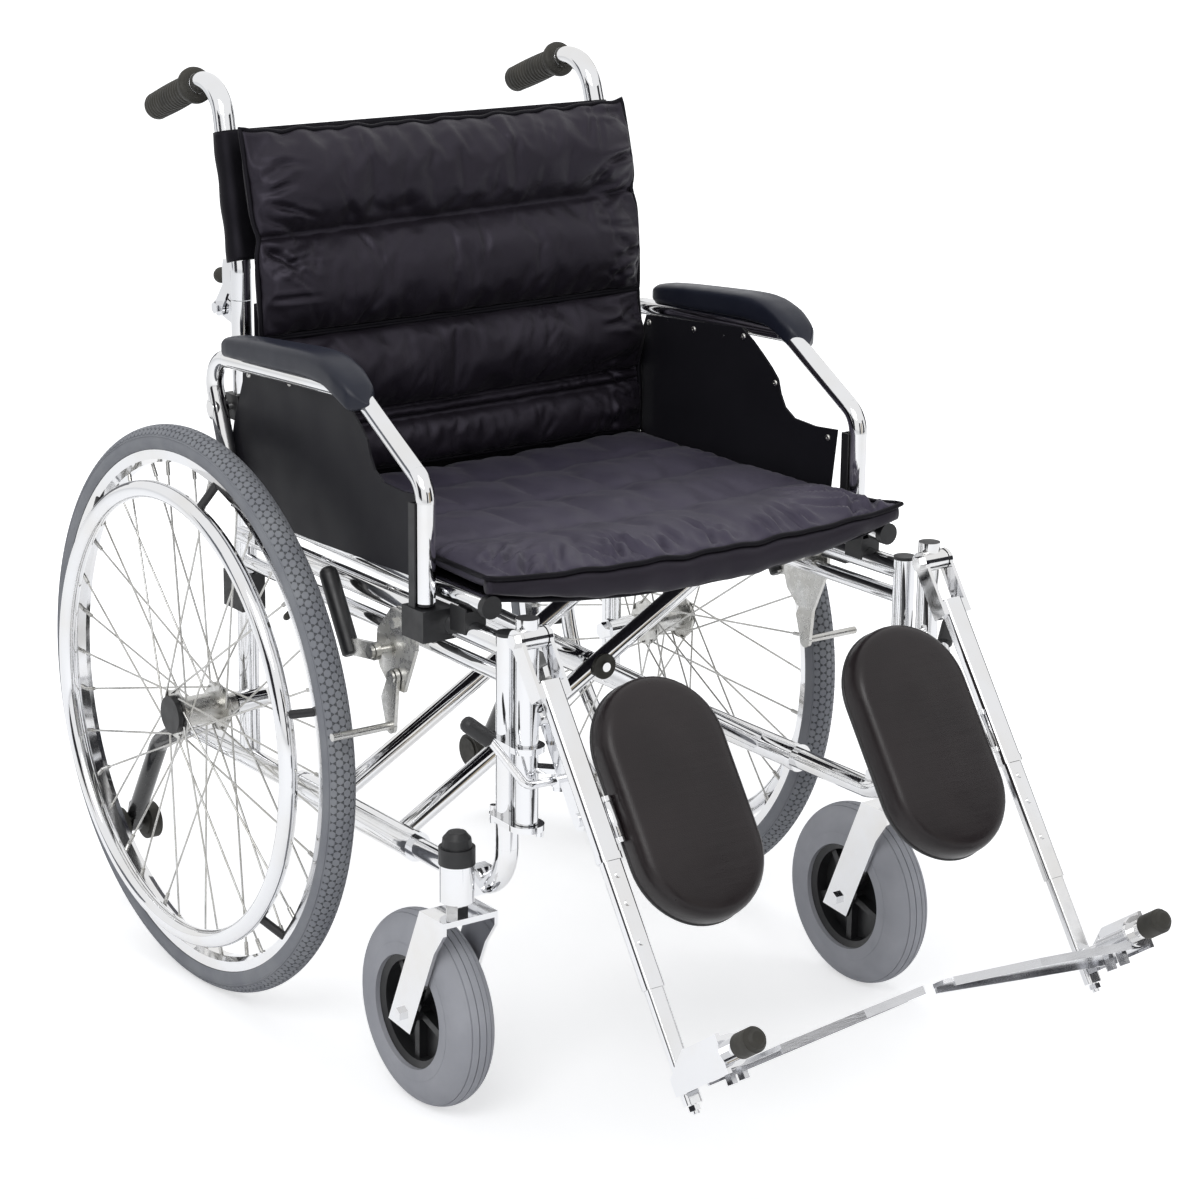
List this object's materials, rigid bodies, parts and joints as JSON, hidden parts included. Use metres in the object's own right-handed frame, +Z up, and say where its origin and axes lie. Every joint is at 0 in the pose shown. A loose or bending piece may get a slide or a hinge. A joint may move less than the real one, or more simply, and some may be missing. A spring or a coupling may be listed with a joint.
{
  "type": "folding wheelchair",
  "caption": "Manual folding wheelchair with padded cloth seat and back, flip-back arms, elevating leg rests, spoked rear wheels, swivel casters and anti-tippers.",
  "frame": {"origin": "on the floor under the middle of the chair's overall length and width", "axes": "+Z up, the chair faces -Y, +X is the seated person's left"},
  "size_m": [0.695, 1.1905, 0.9671],
  "materials": {
    "chrome": "polished",
    "steel": "zinc plated",
    "black_steel": "gloss black",
    "aluminium": "satin",
    "black_plastic": "moulded",
    "black_rubber": "ribbed",
    "soft_pad": "moulded foam skin",
    "grey_tyre": "moulded",
    "leather": "smooth",
    "black_cloth": "woven nylon"
  },
  "bodies": {
    "left_side": {"side_frame_left": "chrome", "frame_trim_left": "black_plastic", "brake_bracket_left": "steel", "back_sling_lower": "black_cloth", "back_cushion_lower": "black_cloth"},
    "right_side": {"side_frame_right": "chrome", "frame_trim_right": "black_plastic", "brake_bracket_right": "steel"},
    "brace_one": {"brace_one": "chrome"},
    "brace_two": {"brace_two": "chrome"},
    "seat": {"seat_sling": "black_cloth", "seat_cushion": "black_cloth"},
    "rear_wheel_left": {"rear_hub_left": "steel", "spokes_left": "steel", "rim_left": "chrome", "tyre_left": "grey_tyre", "push_rim_left": "chrome"},
    "caster_fork_left": {"caster_fork_left": "chrome"},
    "caster_wheel_left": {"caster_hub_left": "black_plastic", "caster_tyre_left": "grey_tyre"},
    "arm_left": {"arm_tube_left": "chrome", "arm_pad_left": "soft_pad", "side_panel_left": "black_plastic"},
    "back_left": {"back_cane_left": "chrome", "push_grip_left": "black_rubber", "back_sling_upper": "black_cloth", "back_cushion_upper": "black_cloth"},
    "brake_handle_left": {"brake_handle_left": "black_plastic"},
    "brake_shoe_left": {"brake_shoe_left": "steel"},
    "hanger_left": {"leg_hanger_left": "chrome"},
    "hanger_latch_left": {"hanger_latch_left": "chrome"},
    "leg_bar_left": {"leg_bar_left": "chrome"},
    "leg_slide_left": {"leg_slide_left": "chrome"},
    "calf_pad_left": {"calf_pad_left": "leather"},
    "foot_plate_left": {"foot_plate_left": "aluminium"},
    "anti_tipper_left": {"anti_tipper_left": "black_steel"},
    "tipper_wheels_left": {"tipper_wheels_left": "black_rubber"},
    "rear_wheel_right": {"rear_hub_right": "steel", "spokes_right": "steel", "rim_right": "chrome", "tyre_right": "grey_tyre", "push_rim_right": "chrome"},
    "caster_fork_right": {"caster_fork_right": "chrome"},
    "caster_wheel_right": {"caster_hub_right": "black_plastic", "caster_tyre_right": "grey_tyre"},
    "arm_right": {"arm_tube_right": "chrome", "arm_pad_right": "soft_pad", "side_panel_right": "black_plastic"},
    "back_right": {"back_cane_right": "chrome", "push_grip_right": "black_rubber"},
    "brake_handle_right": {"brake_handle_right": "black_plastic"},
    "brake_shoe_right": {"brake_shoe_right": "steel"},
    "hanger_right": {"leg_hanger_right": "chrome"},
    "hanger_latch_right": {"hanger_latch_right": "chrome"},
    "leg_bar_right": {"leg_bar_right": "chrome"},
    "leg_slide_right": {"leg_slide_right": "chrome"},
    "calf_pad_right": {"calf_pad_right": "leather"},
    "foot_plate_right": {"foot_plate_right": "aluminium"},
    "anti_tipper_right": {"anti_tipper_right": "black_steel"},
    "tipper_wheels_right": {"tipper_wheels_right": "black_rubber"}
  },
  "joints": [
    {"name": "fold", "type": "hinge", "parent": "left_side", "child": "brace_one", "pos_m": [0.245, 0.072, 0.24], "axis": [0, 1, 0], "range_deg": [0, 40], "deforming": ["seat_sling", "seat_cushion", "back_sling_upper", "back_sling_lower", "back_cushion_upper", "back_cushion_lower"]},
    {"name": "brace_cross", "type": "hinge", "parent": "brace_one", "child": "brace_two", "pos_m": [0, 0.072, 0.38], "axis": [0, 1, 0], "range_deg": [-80, 0]},
    {"name": "right_level", "type": "hinge", "parent": "brace_two", "child": "right_side", "pos_m": [-0.245, 0.072, 0.24], "axis": [0, 1, 0], "range_deg": [0, 40]},
    {"name": "seat_rise", "type": "slide", "parent": "left_side", "child": "seat", "axis": [0, 0, 1], "range_m": [0, 0.2515]},
    {"name": "leg_swing_left", "type": "hinge", "parent": "left_side", "child": "hanger_left", "pos_m": [0.2466, -0.235, 0.34], "axis": [0, 0, 1], "range_deg": [0, 36]},
    {"name": "hanger_latch_left", "type": "hinge", "parent": "hanger_left", "child": "hanger_latch_left", "pos_m": [0.2256, -0.257, 0.37], "axis": [0, 0, -1], "range_deg": [0, 20]},
    {"name": "leg_raise_left", "type": "hinge", "parent": "hanger_left", "child": "leg_bar_left", "pos_m": [0.2466, -0.241, 0.507], "axis": [-1, 0, 0], "range_deg": [0, 50]},
    {"name": "leg_length_left", "type": "slide", "parent": "leg_bar_left", "child": "leg_slide_left", "axis": [0, 0.5678, 0.8231], "range_m": [0, 0.06]},
    {"name": "calf_swing_left", "type": "hinge", "parent": "leg_bar_left", "child": "calf_pad_left", "pos_m": [0.2271, -0.34889, 0.3506], "axis": [0, 0.5678, 0.8231], "range_deg": [0, 60]},
    {"name": "foot_flip_left", "type": "hinge", "parent": "leg_slide_left", "child": "foot_plate_left", "pos_m": [0.2466, -0.53059, 0.19288], "axis": [0, 0.8231, -0.5678], "range_deg": [0, 85]},
    {"name": "arm_flip_left", "type": "hinge", "parent": "left_side", "child": "arm_left", "pos_m": [0.2675, 0.306, 0.625], "axis": [-1, 0, 0], "range_deg": [0, 100]},
    {"name": "back_fold_left", "type": "hinge", "parent": "left_side", "child": "back_left", "pos_m": [0.24, 0.338, 0.724], "axis": [-1, 0, 0], "range_deg": [0, 100], "deforming": ["back_cushion_lower"]},
    {"name": "brake_handle_left", "type": "hinge", "parent": "left_side", "child": "brake_handle_left", "pos_m": [0.272, -0.008, 0.44], "axis": [1, 0, 0], "range_deg": [0, 35]},
    {"name": "brake_shoe_left", "type": "hinge", "parent": "left_side", "child": "brake_shoe_left", "pos_m": [0.2635, -0.03, 0.418], "axis": [1, 0, 0], "range_deg": [0, 13]},
    {"name": "rear_axle_left", "type": "hinge", "parent": "left_side", "child": "rear_wheel_left", "pos_m": [0.308, 0.292, 0.305], "axis": [1, 0, 0], "continuous": true},
    {"name": "caster_swivel_left", "type": "hinge", "parent": "left_side", "child": "caster_fork_left", "pos_m": [0.2775, -0.1625, 0.24], "axis": [0, 0, 1], "continuous": true},
    {"name": "caster_axle_left", "type": "hinge", "parent": "caster_fork_left", "child": "caster_wheel_left", "pos_m": [0.2775, -0.109, 0.1], "axis": [1, 0, 0], "continuous": true},
    {"name": "tipper_turn_left", "type": "hinge", "parent": "left_side", "child": "anti_tipper_left", "pos_m": [0.245, 0.376, 0.24], "axis": [0, 1, 0], "range_deg": [0, 180]},
    {"name": "tipper_axle_left", "type": "hinge", "parent": "anti_tipper_left", "child": "tipper_wheels_left", "pos_m": [0.245, 0.567, 0.082], "axis": [1, 0, 0], "continuous": true},
    {"name": "leg_swing_right", "type": "hinge", "parent": "right_side", "child": "hanger_right", "pos_m": [-0.2466, -0.235, 0.34], "axis": [0, 0, -1], "range_deg": [0, 36]},
    {"name": "hanger_latch_right", "type": "hinge", "parent": "hanger_right", "child": "hanger_latch_right", "pos_m": [-0.2256, -0.257, 0.37], "axis": [0, 0, 1], "range_deg": [0, 20]},
    {"name": "leg_raise_right", "type": "hinge", "parent": "hanger_right", "child": "leg_bar_right", "pos_m": [-0.2466, -0.241, 0.507], "axis": [-1, 0, 0], "range_deg": [0, 50]},
    {"name": "leg_length_right", "type": "slide", "parent": "leg_bar_right", "child": "leg_slide_right", "axis": [0, 0.5678, 0.8231], "range_m": [0, 0.06]},
    {"name": "calf_swing_right", "type": "hinge", "parent": "leg_bar_right", "child": "calf_pad_right", "pos_m": [-0.2271, -0.34889, 0.3506], "axis": [0, -0.5678, -0.8231], "range_deg": [0, 60]},
    {"name": "foot_flip_right", "type": "hinge", "parent": "leg_slide_right", "child": "foot_plate_right", "pos_m": [-0.2466, -0.53059, 0.19288], "axis": [0, -0.8231, 0.5678], "range_deg": [0, 85]},
    {"name": "arm_flip_right", "type": "hinge", "parent": "right_side", "child": "arm_right", "pos_m": [-0.2675, 0.306, 0.625], "axis": [-1, 0, 0], "range_deg": [0, 100]},
    {"name": "back_fold_right", "type": "hinge", "parent": "right_side", "child": "back_right", "pos_m": [-0.24, 0.338, 0.724], "axis": [-1, 0, 0], "range_deg": [0, 100]},
    {"name": "brake_handle_right", "type": "hinge", "parent": "right_side", "child": "brake_handle_right", "pos_m": [-0.272, -0.008, 0.44], "axis": [1, 0, 0], "range_deg": [0, 35]},
    {"name": "brake_shoe_right", "type": "hinge", "parent": "right_side", "child": "brake_shoe_right", "pos_m": [-0.2635, -0.03, 0.418], "axis": [1, 0, 0], "range_deg": [0, 13]},
    {"name": "rear_axle_right", "type": "hinge", "parent": "right_side", "child": "rear_wheel_right", "pos_m": [-0.308, 0.292, 0.305], "axis": [1, 0, 0], "continuous": true},
    {"name": "caster_swivel_right", "type": "hinge", "parent": "right_side", "child": "caster_fork_right", "pos_m": [-0.2775, -0.1625, 0.24], "axis": [0, 0, 1], "continuous": true},
    {"name": "caster_axle_right", "type": "hinge", "parent": "caster_fork_right", "child": "caster_wheel_right", "pos_m": [-0.2775, -0.109, 0.1], "axis": [1, 0, 0], "continuous": true},
    {"name": "tipper_turn_right", "type": "hinge", "parent": "right_side", "child": "anti_tipper_right", "pos_m": [-0.245, 0.376, 0.24], "axis": [0, -1, 0], "range_deg": [0, 180]},
    {"name": "tipper_axle_right", "type": "hinge", "parent": "anti_tipper_right", "child": "tipper_wheels_right", "pos_m": [-0.245, 0.567, 0.082], "axis": [1, 0, 0], "continuous": true}
  ],
  "couplings": [
    {"joint": "brace_cross", "follows": "fold", "ratio": -2},
    {"joint": "right_level", "follows": "fold", "ratio": 1},
    {"joint": "seat_rise", "follows": "fold", "m_per_rad": 0.35732},
    {"joint": "leg_swing_left", "follows": "fold", "ratio": 0.9},
    {"joint": "brake_shoe_left", "follows": "brake_handle_left", "ratio": 0.3714},
    {"joint": "leg_swing_right", "follows": "fold", "ratio": 0.9},
    {"joint": "brake_shoe_right", "follows": "brake_handle_right", "ratio": 0.3714},
    {"joint": "back_fold_right", "follows": "back_fold_left", "ratio": 1}
  ]
}
